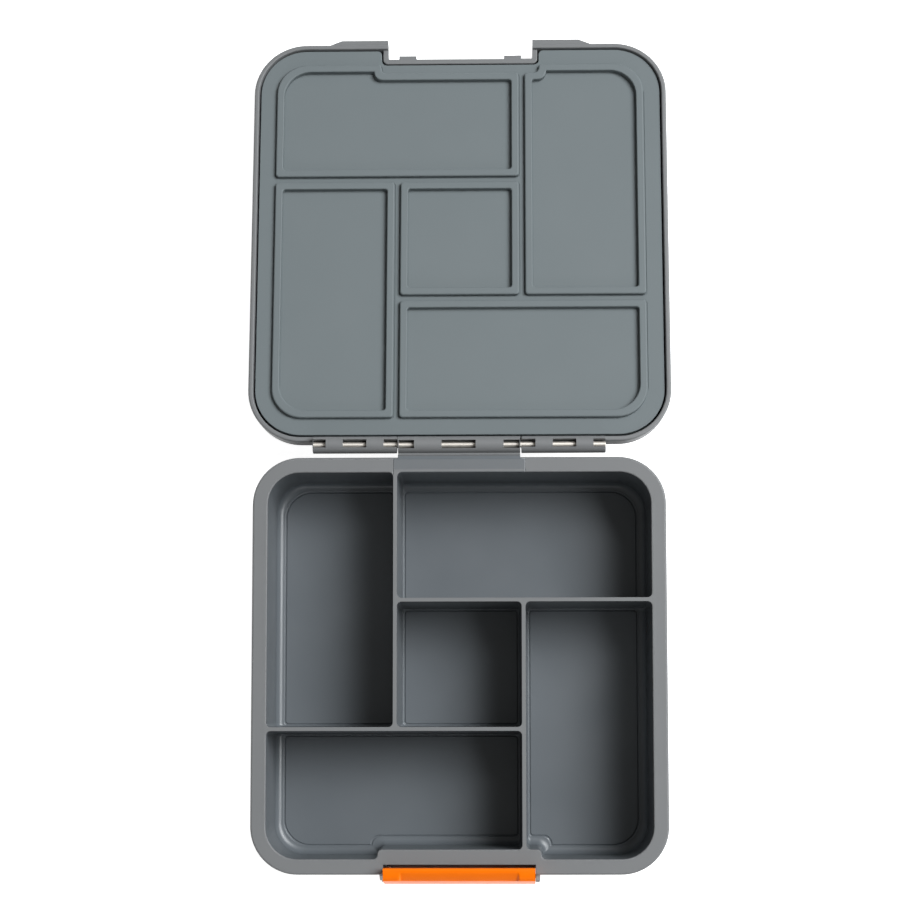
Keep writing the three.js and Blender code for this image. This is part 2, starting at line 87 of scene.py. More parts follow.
# Widths of the parts of a compartment's side: how far it leans in, its curved foot, the ledge and the
# groove on the floor, and the rounded lip at the top.
WALL_FOOT = {"draft": 0.7, "cove": 3.2, "ledge": 0.3, "groove": 0.9, "lip": 0.5}
DIVIDER_FOOT = {"draft": 0.55, "cove": 0.6, "ledge": 0.2, "groove": 0.75, "lip": 0.12}
LIP_DEPTH = 0.5
TUB_DRAFT = 1.5  # the outside of the tub, under the rim
TUB_COVE = 3.5
DIVIDER_CENTRE = 27.7
DIVIDER_HALF = 0.875
CELL_CORNER = 1.9
BULGE_HALF = 35  # the front wall steps in behind the latch
BULGE_DEPTH = 4.1
RECESS_HALF = 32.6  # the pocket that holds the latch
RECESS_Y = -85.1
RECESS_BOTTOM_Z = 7.5
EAR_THICKNESS = 1.8
EAR_TOP_Z = RIM_Z - 6
EAR_REACH = 2.8

BARREL_RADIUS = 3.7
PIN_RADIUS = 1.33
BORE_RADIUS = 1.5
BASE_BARREL_HALF = 26.5
LID_BARREL = (27, 63.6)
LID_BARREL_ROUND = 0.4
PIN_ROUND = 0.3
WINDOW_HALF = 1.8  # slots in the barrels that show the pin
WINDOW_PAST_AXIS = 1.3
BASE_WINDOWS = [(-26.2, -19.5), (-7.6, 7.2), (19.3, 26.3)]
LID_WINDOWS = [
    (-63.4, -57.9), (-50.5, -40.2), (-32.8, -26.8),
    (27, 33.1), (40.6, 50.8), (58.2, 63.7),
]

LID_HALF = box_mm("lid_shell")[1].x
LID_CENTRE_Y = 0.35
LID_CORNER = 23.5
LID_TOP_Z = RIM_Z + 13
LID_EDGE_Z = RIM_Z - 1.2
LID_WALL = 2.2
LID_DRAFT = 1.2
LID_TOP_ROUND = 5
LID_EDGE_ROUND = 0.95
LID_INNER_ROUND = 0.5
LID_RIBS = (-45, 0, 45)  # stiffening ribs under the top, in both directions
LID_RIB_THICKNESS = 1.5
NOTCH_HALF = RECESS_HALF
NOTCH_Y = -85.7
NOTCH_WALL = 2.3
NOTCH_CORNER = 2.4
NOTCH_WALL_ROUND = 0.5
TAB_X = (19.8, 27.6)  # two catches under the latch's lip
TAB_REACH = 1.7
TAB_Z = (RIM_Z + 0.6, RIM_Z + 3)
BROW_REACH = 2  # raised guards on the skirt, beside the latch
BROW_END = 53.5
BROW_SLOPE_END = 58.6
BROW_TOP_Z = RIM_Z + 8

SEAL_HALF = box_mm("lid_seal")[1].x + 0.4
SEAL_CORNER = 20.5
SEAL_LOW = RIM_Z + GAP
SEAL_THICKNESS = 3
SEAL_EDGE_ROUND = 0.3
SEAL_NOTCH_HALF = 35.4
SEAL_NOTCH_Y = -82.9
SEAL_NOTCH_CORNER = 2.2
RIB_CLEARANCE = 0.45
RIB_WIDTH = 3.3
RIB_DEPTH = 1.75
RIB_OUTER_ROUND = 0.7
RIB_INNER_ROUND = 0.5
RIB_FOOT = 0.22  # depth of a fine groove along both feet of each frame
PANEL_RECESS = 0.6

LATCH_HALF = box_mm("front_latch")[1].x + 0.3
LATCH_TOP_Z = box_mm("front_latch")[1].z
LATCH_LIP_Y = box_mm("front_latch")[1].y
LATCH_LIP_BOTTOM_Z = RIM_Z + 3.5
LATCH_BLOCK = 6.6  # the squarer blocks at the latch's two ends
LATCH_BLEND = 1.2
LATCH_CHEEK = 2
# (y, z) points down the latch's outer face, and up its inner face to its lip
LATCH_OUTER_FACE = [(-93, RIM_Z - 3), (-93.9, RIM_Z - 14)]
LATCH_INNER_FACE = [(-91.6, RIM_Z - 14), (-90.5, RIM_Z - 3), (-89.2, LATCH_LIP_BOTTOM_Z)]
BOSS_RADIUS = 2.6
LATCH_PIN_RADIUS = 1
LATCH_PIN_ROUND = 0.25
LATCH_BORE_RADIUS = 1.25

BIG_RADIUS = 5
BIG_ARC_STEPS = 20  # chords in a quarter turn of a radius over BIG_RADIUS
SMALL_ARC_STEPS = 6
OVERSHOOT = 1  # how far a cutter reaches past the solid it cuts
POLISH_AND_SHADE = "polish_and_shade"  # an attribute of the base's faces that its material reads: a smoother finish and a darker colour, which in the compartments is painted shade
SHARP_ANGLE = math.radians(40)

# ---- Outlines: lists of corners, counter-clockwise, with sides along X and Y ---------------------


def corner(x, y, r=CELL_CORNER, least=0.3, follow=1.0):
    """A corner of radius r. Inset by d, its radius changes by follow times d, down to least."""
    return {"at": Vector((x, y)), "r": r, "least": least, "follow": follow}


def inset_corners(corners, insets):
    """Moves side i, from corner i to corner i + 1, inwards by insets[i]."""
    count = len(corners)
    moved = []
    for i, here in enumerate(corners):
        side_in = (here["at"] - corners[i - 1]["at"]).normalized()
        side_out = (corners[(i + 1) % count]["at"] - here["at"]).normalized()
        inset_in, inset_out = insets[i - 1], insets[i]
        left = side_in.x * side_out.y - side_in.y * side_out.x > 0
        change = min(inset_in, inset_out) * here["follow"] * (-1 if left else 1)
        at = here["at"] + Vector((-side_in.y * inset_in - side_out.y * inset_out,
                                  side_in.x * inset_in + side_out.x * inset_out))
        moved.append({**here, "at": at, "r": max(here["r"] + change, here["least"]),
                      "steps": BIG_ARC_STEPS if here["r"] > BIG_RADIUS else SMALL_ARC_STEPS})
    return moved


def rounded_points(corners):
    """The points of an outline, each corner an arc. Two arcs share a side that is too short."""
    count = len(corners)
    points = []
    for i, here in enumerate(corners):
        radius = here["r"]
        ways = []
        for other in (corners[i - 1], corners[(i + 1) % count]):
            way = other["at"] - here["at"]
            room = (way.length - 0.1) * here["r"] / (here["r"] + other["r"])
            radius = min(radius, room)
            ways.append(way.normalized())
        start = here["at"] + ways[0] * radius
        end = here["at"] + ways[1] * radius
        centre = start + end - here["at"]
        for k in range(here["steps"] + 1):
            turn = k / here["steps"] * math.pi / 2
            points.append(centre + (start - centre) * math.cos(turn) + (end - centre) * math.sin(turn))
    return points


def inset_points(corners, inset):
    return rounded_points(inset_corners(corners, [inset] * len(corners)))


def square_corners(half, radius, centre_y=0.0, step=None):
    """A square outline; with a step, its front side is set back over the middle."""
    low, high = centre_y - half, centre_y + half
    corners = [corner(-half, low, radius)]
    if step:
        corners += [corner(-step["half"], low, step["r"]), corner(-step["half"], step["y"], step["r"]),
                    corner(step["half"], step["y"], step["r"]), corner(step["half"], low, step["r"])]
    corners += [corner(half, low, radius), corner(half, high, radius), corner(-half, high, radius)]
    return corners


# ---- Solids --------------------------------------------------------------------------------------


def solid(rings, closed=False):
    """A solid through rings of points. It has end caps, or is a closed loop of rings."""
    mesh = bmesh.new()
    rows = [[mesh.verts.new(point) for point in ring] for ring in rings]
    pairs = list(zip(rows, rows[1:]))
    if closed:
        pairs.append((rows[-1], rows[0]))
    for lower, upper in pairs:
        for i in range(len(lower)):
            j = (i + 1) % len(lower)
            mesh.faces.new((lower[i], lower[j], upper[j], upper[i]))
    if not closed:
        mesh.faces.new(rows[0][::-1])
        mesh.faces.new(rows[-1])
    bmesh.ops.recalc_face_normals(mesh, faces=mesh.faces)
    data = bpy.data.meshes.new("solid")
    mesh.to_mesh(data)
    mesh.free()
    piece = bpy.data.objects.new("solid", data)
    bpy.context.scene.collection.objects.link(piece)
    return piece


def loft(corners, levels):
    """A solid whose outline is inset by a different amount at each height. levels: (z, inset)."""
    return solid([[(p.x, p.y, z) for p in inset_points(corners, inset)] for z, inset in levels])


def prism(points, low, high):
    return solid([[(x, y, z) for x, y in points] for z in (low, high)])


def box(x, y, z):
    return prism([(x[0], y[0]), (x[1], y[0]), (x[1], y[1]), (x[0], y[1])], *z)


def bar(x, y, z, radius, sides=64, end_round=0.0):
    """A round bar along X, with rounded end edges."""
    stations = [(x[0], radius), (x[1], radius)]
    if end_round:
        arc = [k / 4 * math.pi / 2 for k in range(5)]
        left = [(x[0] + end_round * (1 - math.sin(a)), radius - end_round * (1 - math.cos(a))) for a in arc]
        stations = left[::-1] + [(x[0] + x[1] - station, size) for station, size in left]
    angles = [2 * math.pi * k / sides for k in range(sides)]
    return solid([[(station, y + size * math.cos(a), z + size * math.sin(a)) for a in angles]
                  for station, size in stations])


def profile_along_x(profile, x):
    return solid([[(station, y, z) for y, z in profile] for station in x])


def combine(body, tools, operation):
    """Joins tools to a solid, or cuts them from it, and uses them up."""
    for tool in tools:
        modifier = body.modifiers.new("combine", "BOOLEAN")
        modifier.operation = operation
        modifier.solver = "MANIFOLD"
        modifier.object = tool
        graph = bpy.context.evaluated_depsgraph_get()
        result = bpy.data.meshes.new_from_object(body.evaluated_get(graph))
        body.modifiers.clear()
        for used in (tool.data, body.data):
            used.name = "used"
        body.data = result
        bpy.data.objects.remove(tool)
    return body


def join(body, *tools):
    return combine(body, tools, "UNION")


def cut(body, *tools):
    return combine(body, tools, "DIFFERENCE")


def common(body, *tools):
    return combine(body, tools, "INTERSECT")


def quarter(radius, steps=5):
    """A quarter round as (rise, inset), from where it is deepest to where it ends."""
    turns = [k / steps * math.pi / 2 for k in range(steps + 1)]
    return [(radius * (1 - math.cos(t)), radius * (1 - math.sin(t))) for t in turns]


def both_sides(low, high):
    """A range along X and its mirror image."""
    return [(low, high), (-high, -low)]


def reaching_past(half):
    """The range along X of a cutter through a solid of this half width."""
    return (-half - OVERSHOOT, half + OVERSHOOT)


# ---- Compartments: a pinwheel of four round a square ---------------------------------------------

NEAR = DIVIDER_CENTRE - DIVIDER_HALF
FAR = DIVIDER_CENTRE + DIVIDER_HALF
BULGE_Y = -TUB_HALF + BULGE_DEPTH


def inner(x, y):
    """A compartment's corner at a divider."""
    return corner(x, y, least=1.3)


def outer(x, y):
    """A compartment's corner at the tub's own corner."""
    return corner(x, y, TUB_CORNER, least=6, follow=0.5)


def bend(x, y):
    """Where the front wall steps in behind the latch."""
    return corner(x, y, least=0.4)


T, B = TUB_HALF, BULGE_HALF
# Each compartment's outline, and for each of its sides w for an outer wall or d for a divider.
CELLS = [
    ([inner(-T, -NEAR), inner(-FAR, -NEAR), inner(-FAR, T), outer(-T, T)], "ddww"),
    ([inner(-NEAR, FAR), inner(T, FAR), outer(T, T), inner(-NEAR, T)], "dwwd"),
    ([inner(-NEAR, -NEAR), inner(NEAR, -NEAR), inner(NEAR, NEAR), inner(-NEAR, NEAR)], "dddd"),
    ([inner(FAR, BULGE_Y), bend(B, BULGE_Y), bend(B, -T), outer(T, -T), inner(T, NEAR), inner(FAR, NEAR)],
     "wwwwdd"),
    ([outer(-T, -T), bend(-B, -T), bend(-B, BULGE_Y), inner(NEAR, BULGE_Y), inner(NEAR, -FAR),
      inner(-T, -FAR)], "wwwddw"),
]


def cell_space(corners, sides):
    """The room in a compartment: floor, groove, ledge, curved foot, leaning walls and rounded lip."""
    top = RIM_Z + LAND_RISE
    floor_z = FLOOR_Z + GROOVE_DEPTH

    def ring(z, inset_at):
        by_side = {"w": inset_at(WALL_FOOT), "d": inset_at(DIVIDER_FOOT)}
        insets = [by_side[side] for side in sides]
        return [(p.x, p.y, z) for p in rounded_points(inset_corners(corners, insets))]

    def on_groove(drop, share):
        """A ring at the groove. share goes from 0 at its outer edge to 1 at its inner edge."""
        return ring(floor_z - drop, lambda foot: (
            foot["draft"] + foot["cove"] + foot["ledge"] + share * foot["groove"]))

    def on_wall(z, cove_share, lip_share):
        lean = (top - z) / (top - floor_z)
        return ring(z, lambda foot: (
            foot["draft"] * lean + foot["cove"] * cove_share - foot["lip"] * lip_share))

    edge = 0.05
    groove = [(0, 1.15), (edge, 0.95), (GROOVE_DEPTH, 0.6), (GROOVE_DEPTH, 0.4), (edge, 0.05), (0, -0.15)]
    rings = [on_groove(drop, share) for drop, share in groove]
    rings += [on_wall(floor_z + WALL_FOOT["cove"] * rise, share, 0) for rise, share in quarter(1, 10)]
    rings += [on_wall(top - LIP_DEPTH * rise, 0, share) for rise, share in quarter(1)[::-1]]
    rings.append(ring(top + OVERSHOOT, lambda foot: -foot["lip"]))
    return solid(rings)


# ---- Base ----------------------------------------------------------------------------------------


def base_draft(z):
    """How far the outer wall leans in at this height."""
    return BASE_DRAFT * (1 - z / RIM_Z)


def windows(ranges, side):
    """Slots in a barrel, open to its top (side 1) or its underside (side -1) when the lid is closed."""
    y = (HINGE.y - WINDOW_HALF, HINGE.y + WINDOW_HALF)
    ends = sorted((HINGE.z + side * (BARREL_RADIUS + OVERSHOOT), HINGE.z - side * WINDOW_PAST_AXIS))
    return [box(x, y, ends) for x in ranges]


def latch_ear(x):
    """A cheek that stands out from the outer wall and holds one end of the latch's pin."""
    back = -BASE_HALF + BASE_DRAFT + SKIRT_WALL / 2
    turns = [math.pi / 2 + k / 16 * math.pi for k in range(17)]
    arc = [(PIVOT.y + BOSS_RADIUS * math.cos(t), PIVOT.z + BOSS_RADIUS * math.sin(t)) for t in turns]
    face = [(back, EAR_TOP_Z), (-BASE_HALF - 0.4, EAR_TOP_Z), (-BASE_HALF - EAR_REACH, EAR_TOP_Z - 6)]
    return profile_along_x([(back, PIVOT.z - BOSS_RADIUS - 1), *face, *arc], x)


def under_rim():
    """The room between the outer wall and the tub, open to the table."""
    pocket = {"half": RECESS_HALF + SKIRT_WALL, "y": RECESS_Y + SKIRT_WALL, "r": 1}
    skirt = square_corners(BASE_HALF - SKIRT_WALL, BASE_CORNER - SKIRT_WALL, 0, pocket)
    inside = loft(skirt, [
        (-OVERSHOOT, base_draft(0) + BASE_BOTTOM_ROUND),
        (BASE_BOTTOM_ROUND, base_draft(BASE_BOTTOM_ROUND)),
        (RIM_Z - RIM_DEPTH, base_draft(RIM_Z - RIM_DEPTH)),
    ])
    bulge = {"half": BULGE_HALF, "y": BULGE_Y, "r": 1.5}
    foot = [(rise, TUB_DRAFT - TUB_WALL + inset) for rise, inset in quarter(TUB_COVE)]
    tub = loft(square_corners(TUB_HALF, TUB_CORNER, 0, bulge), [
        (-2 * OVERSHOOT, TUB_DRAFT - TUB_WALL + TUB_COVE), *foot, (RIM_Z, -TUB_WALL)])
    return cut(inside, tub)


def hinge_plate(x):
    """The plate that carries the base's barrel. Its top dips between the rim and the barrel."""
    dip_y, dip_z = HINGE.y - BARREL_RADIUS - 0.7, RIM_Z - 2.2
    back, low = BASE_HALF - SKIRT_WALL, HINGE.z - 2.5
    slope = [(dip_y - 0.35, RIM_Z - 0.9), (dip_y - 0.8, RIM_Z - 0.2), (dip_y - 1.6, RIM_Z)]
    bottom = [(back, low), (HINGE.y, low), (HINGE.y, dip_z)]
    return profile_along_x([*bottom, (dip_y, dip_z), *slope, (back, RIM_Z)], x)


def pad_line(x):
    """A fine V-shaped groove in the back rim, at one side of the pad."""
    land_z = RIM_Z + LAND_RISE
    section = [(-0.5, land_z + OVERSHOOT), (-0.35, land_z), (0.1, RIM_Z - 0.1), (0.35, land_z),
               (0.5, land_z + OVERSHOOT)]
    ends = (TUB_HALF - OVERSHOOT, BASE_HALF + OVERSHOOT)
    return solid([[(x + across, y, z) for across, z in section] for y in ends])


def rim_land():
    """The raised band round the compartments, and the pad in front of the hinge."""
    half, low = TUB_HALF + LAND_REACH, RIM_Z - 2
    land = loft(square_corners(half, TUB_CORNER + LAND_REACH),
                [(low, 0), (RIM_Z, 0), (RIM_Z + LAND_RISE, LAND_SLOPE)])
    pad_top = RIM_Z + LAND_RISE - PAD_DROP
    return [land, box((-PAD_HALF, PAD_HALF), (half - 2, BASE_HALF - RIM_ROUND), (low, pad_top))]


def base_tub():
    levels = [(rise, base_draft(rise) + inset) for rise, inset in quarter(BASE_BOTTOM_ROUND)]
    levels += [(RIM_Z - rise, base_draft(RIM_Z - rise) + inset) for rise, inset in quarter(RIM_ROUND)[::-1]]
    body = loft(square_corners(BASE_HALF, BASE_CORNER), levels)
    pad_lines = [pad_line(side * PAD_HALF) for side in (-1, 1)]
    barrel_x = (-BASE_BARREL_HALF, BASE_BARREL_HALF)
    barrel = bar(barrel_x, HINGE.y, HINGE.z, BARREL_RADIUS)
    bore = bar(reaching_past(BASE_BARREL_HALF), HINGE.y, HINGE.z, BORE_RADIUS)
    pocket = box((-RECESS_HALF, RECESS_HALF), (-BASE_HALF - 5, RECESS_Y), (RECESS_BOTTOM_Z, RIM_Z + 5))
    ears = [latch_ear(x) for x in both_sides(RECESS_HALF, RECESS_HALF + EAR_THICKNESS)]
    pin_hole = bar(reaching_past(RECESS_HALF + EAR_THICKNESS), PIVOT.y, PIVOT.z, LATCH_BORE_RADIUS, 32)
    cut(body, under_rim())
    join(body, *rim_land(), hinge_plate(barrel_x), barrel)
    cut(body, pocket)
    join(body, *ears)
    cut(body, *[cell_space(*cell) for cell in CELLS], *pad_lines)
    return cut(body, bore, pin_hole, *windows(BASE_WINDOWS, 1))


# ---- Lid, drawn closed ---------------------------------------------------------------------------


def lid_draft(z):
    """How far the skirt leans in at this height."""
    return LID_DRAFT * (z - LID_EDGE_Z) / (LID_TOP_Z - LID_EDGE_Z)


def lid_outline():
    return square_corners(LID_HALF, LID_CORNER, LID_CENTRE_Y)


def lid_outside():
    levels = [(LID_EDGE_Z + rise, lid_draft(LID_EDGE_Z + rise) + inset)
              for rise, inset in quarter(LID_EDGE_ROUND)]
    levels += [(LID_TOP_Z - rise, lid_draft(LID_TOP_Z - rise) + inset)
               for rise, inset in quarter(LID_TOP_ROUND, 10)[::-1]]
    return loft(lid_outline(), levels)


def lid_inside():
    levels = [(LID_EDGE_Z - OVERSHOOT, LID_WALL - LID_INNER_ROUND)]
    levels += [(LID_EDGE_Z + rise, LID_WALL + lid_draft(LID_EDGE_Z + rise) - inset)
               for rise, inset in quarter(LID_INNER_ROUND)]
    top = LID_TOP_Z - LID_WALL
    levels += [(top - rise, LID_WALL + lid_draft(top - rise) + inset)
               for rise, inset in quarter(LID_TOP_ROUND - LID_WALL)[::-1]]
    return loft(lid_outline(), levels)


def notch_outline(half, back, radius):
    """From well in front of the lid to this far back, with rounded corners at the back."""
    front = LID_CENTRE_Y - LID_HALF - 5
    return [corner(-half, front, 0.3), corner(half, front, 0.3), corner(half, back, radius),
            corner(-half, back, radius)]


def notch_block():
    """The block that holds the latch's notch, from the seal to the top."""
    levels = [(RIM_Z + GAP + rise, inset) for rise, inset in quarter(NOTCH_WALL_ROUND)]
    outline = notch_outline(NOTCH_HALF + NOTCH_WALL, NOTCH_Y + NOTCH_WALL, NOTCH_CORNER)
    return common(loft(outline, [*levels, (LID_TOP_Z + 5, 0)]), lid_outside())


def brow(side):
    """A raised guard on the skirt, on one side of the latch."""
    front = LID_CENTRE_Y - LID_HALF
    inner_x, inner_y = NOTCH_HALF - 2, front + LID_WALL
    shape = [(inner_x, inner_y), (inner_x, front - BROW_REACH), (BROW_END, front - BROW_REACH),
             (BROW_SLOPE_END, front), (BROW_SLOPE_END, inner_y)]
    points = [(side * x, y) for x, y in shape]
    return prism(points if side > 0 else points[::-1], LID_EDGE_Z + 0.5, BROW_TOP_Z)


def lid_ribs():
    reach = LID_HALF - LID_TOP_ROUND
    z = (SEAL_LOW + SEAL_THICKNESS + GAP, LID_TOP_Z - LID_WALL / 2)
    half = LID_RIB_THICKNESS / 2
    across = [box((-reach, reach), (y - half, y + half), z) for y in LID_RIBS]
    along = [box((x - half, x + half), (NOTCH_Y + 1 if abs(x) < NOTCH_HALF else -reach, reach), z)
             for x in LID_RIBS]
    return across + along


def lid_shell():
    body = cut(lid_outside(), lid_inside())
    join(body, notch_block(), *lid_ribs())
    hinge_gap = box((-LID_BARREL[0], LID_BARREL[0]), (BASE_HALF, HINGE.y + 5),
                    (LID_EDGE_Z - OVERSHOOT, HINGE.z + BARREL_RADIUS + GAP))
    cut(body, hinge_gap)
    skirt_middle = LID_CENTRE_Y + LID_HALF - LID_WALL / 2
    for x in both_sides(*LID_BARREL):
        web = box(x, (skirt_middle, HINGE.y), (HINGE.z, HINGE.z + BARREL_RADIUS))
        join(body, web, bar(x, HINGE.y, HINGE.z, BARREL_RADIUS, end_round=LID_BARREL_ROUND))
    join(body, brow(1), brow(-1))
    notch = loft(notch_outline(NOTCH_HALF, NOTCH_Y, 0.7), [(LID_EDGE_Z - 2, 0), (LID_TOP_Z + 2, 0)])
    bore = bar(reaching_past(LID_BARREL[1]), HINGE.y, HINGE.z, BORE_RADIUS)
    cut(body, notch, bore, *windows(LID_WINDOWS, -1))
    tabs = [box(x, (NOTCH_Y - TAB_REACH, NOTCH_Y + 1), TAB_Z) for x in both_sides(*TAB_X)]
    return join(body, *tabs)


def seal_ring(corners, z, inset):
    """A ring set inside a compartment's outline by the ribs' clearance and this much more."""
    return [(p.x, p.y, z) for p in inset_points(corners, RIB_CLEARANCE + inset)]


def seal_frame(corners):
    """A raised frame of the seal, rounded along its lip."""
    low = RIM_Z - RIB_DEPTH
    levels = [(low + rise, inset) for rise, inset in quarter(RIB_OUTER_ROUND)] + [(SEAL_LOW + 1.5, 0)]
    return solid([seal_ring(corners, *level) for level in levels])


def seal_panel(corners):
    """The room inside a frame, down to a panel that is a little lower than the rest of the mat."""
    low = RIM_Z - RIB_DEPTH
    lip = [(low + rise, RIB_WIDTH - inset) for rise, inset in quarter(RIB_INNER_ROUND)]
    panel = SEAL_LOW + PANEL_RECESS
    foot = [(panel + RIB_FOOT, RIB_WIDTH), (panel + RIB_FOOT, RIB_WIDTH + 0.25), (panel, RIB_WIDTH + 0.55)]
    levels = [(low - OVERSHOOT, RIB_WIDTH - RIB_INNER_ROUND), *lip, *foot]
    return solid([seal_ring(corners, *level) for level in levels])


def seal_foot(corners):
    """The fine groove round the outside of a frame."""
    bottom, top = SEAL_LOW - OVERSHOOT, SEAL_LOW + RIB_FOOT
    levels = [(bottom, -0.7), (SEAL_LOW, -0.45), (top, -0.2), (top, 0), (bottom, 0)]
    rings = [seal_ring(corners, *level) for level in levels]
    return solid(rings, closed=True)


def lid_seal():
    step = {"half": SEAL_NOTCH_HALF, "y": SEAL_NOTCH_Y, "r": SEAL_NOTCH_CORNER}
    top = SEAL_LOW + SEAL_THICKNESS
    levels = [(SEAL_LOW + rise, inset) for rise, inset in quarter(SEAL_EDGE_ROUND)]
    levels += [(top - rise, inset) for rise, inset in quarter(SEAL_EDGE_ROUND)[::-1]]
    mat = loft(square_corners(SEAL_HALF, SEAL_CORNER, 0, step), levels)
    outlines = [corners for corners, _ in CELLS]
    cut(mat, *[seal_foot(corners) for corners in outlines])
    join(mat, *[seal_frame(corners) for corners in outlines])
    return cut(mat, *[seal_panel(corners) for corners in outlines])


# ---- Latch and pins ------------------------------------------------------------------------------


def smooth_line(points, steps):
    """Points on a curve through the given points."""
    points = [Vector(point) for point in points]
    ends = [points[0] * 2 - points[1], *points, points[-1] * 2 - points[-2]]
    line = []
    for a, b, c, d in zip(ends, ends[1:], ends[2:], ends[3:]):
        for k in range(steps):
            t = k / steps
            line.append(0.5 * (2 * b + (c - a) * t + (2 * a - 5 * b + 4 * c - d) * t * t
                               + (3 * b - a - 3 * c + d) * t ** 3))
    return [*line, points[-1]]


def latch_section(roundness):
    """The latch's section, whose top edge is squarer at roundness 0 and slopes down more at 1."""
    # How far each point is from the lip's edge, how far it is below the top, and what roundness adds.
    slope = [(1.3, 0, 0), (2.2, 0, 0.25), (3.2, 0.1, 0.85), (4.2, 0.35, 1.45), (5.1, 0.85, 1.85),
             (5.7, 1.9, 1.7)]
    top_edge = [(LATCH_LIP_Y - reach, LATCH_TOP_Z - drop - more * roundness) for reach, drop, more in slope]
    outer_face = [*top_edge, *LATCH_OUTER_FACE, (PIVOT.y - BOSS_RADIUS, PIVOT.z)]
    turns = [math.pi + (k + 1) / 14 * math.pi * 1.2 for k in range(13)]
    boss = [(PIVOT.y + BOSS_RADIUS * math.cos(t), PIVOT.z + BOSS_RADIUS * math.sin(t)) for t in turns]
    inner_face = [(PIVOT.y + 0.4, PIVOT.z + BOSS_RADIUS + 0.2), *LATCH_INNER_FACE]
    lip = [(LATCH_LIP_Y - 0.6, LATCH_LIP_BOTTOM_Z), (LATCH_LIP_Y - 0.15, LATCH_LIP_BOTTOM_Z + 0.2),
           (LATCH_LIP_Y, LATCH_LIP_BOTTOM_Z + 0.8), (LATCH_LIP_Y, LATCH_TOP_Z - 0.9),
           (LATCH_LIP_Y - 0.25, LATCH_TOP_Z - 0.3), (LATCH_LIP_Y - 0.9, LATCH_TOP_Z)]
    return [*smooth_line(outer_face, 6), *boss, *smooth_line(inner_face, 5), *lip]


def latch_cheek(x):
    """The plate that closes one end of the latch, down to its pivot."""
    inside, top = LATCH_LIP_Y - 0.3, LATCH_LIP_BOTTOM_Z + 1.5
    shape = [(inside, top), (-91.2, top), (-92.8, RIM_Z - 14), (PIVOT.y, PIVOT.z),
             (PIVOT.y + 1.8, PIVOT.z + 0.8), (inside, RIM_Z - 20)]
    return profile_along_x(shape, x)


def front_latch():
    blend = [(LATCH_HALF - LATCH_BLOCK - LATCH_BLEND * k / 6, k / 6) for k in range(7)]
    right = [(LATCH_HALF, 0), *blend]
    stations = [(-x, share) for x, share in right] + right[::-1]
    rings = []
    for x, share in stations:
        roundness = share * share * (3 - 2 * share)
        rings.append([(x, y, z) for y, z in latch_section(roundness)])
    body = solid(rings)
    join(body, *[latch_cheek(x) for x in both_sides(LATCH_HALF - LATCH_CHEEK, LATCH_HALF - 0.05)])
    return cut(body, bar(reaching_past(LATCH_HALF), PIVOT.y, PIVOT.z, LATCH_BORE_RADIUS, 32))


def hinge_pin():
    return bar((-LID_BARREL[1], LID_BARREL[1]), HINGE.y, HINGE.z, PIN_RADIUS, 48, end_round=PIN_ROUND)


def latch_pin():
    reach = RECESS_HALF + EAR_THICKNESS
    return bar((-reach, reach), PIVOT.y, PIVOT.z, LATCH_PIN_RADIUS, 32, end_round=LATCH_PIN_ROUND)


# ---- Materials -----------------------------------------------------------------------------------

# Where a mix node has its factor, its two inputs and, among its outputs, its result.
MIX_SOCKETS = {"RGBA": (0, 6, 7, 2), "FLOAT": (0, 2, 3, 0)}


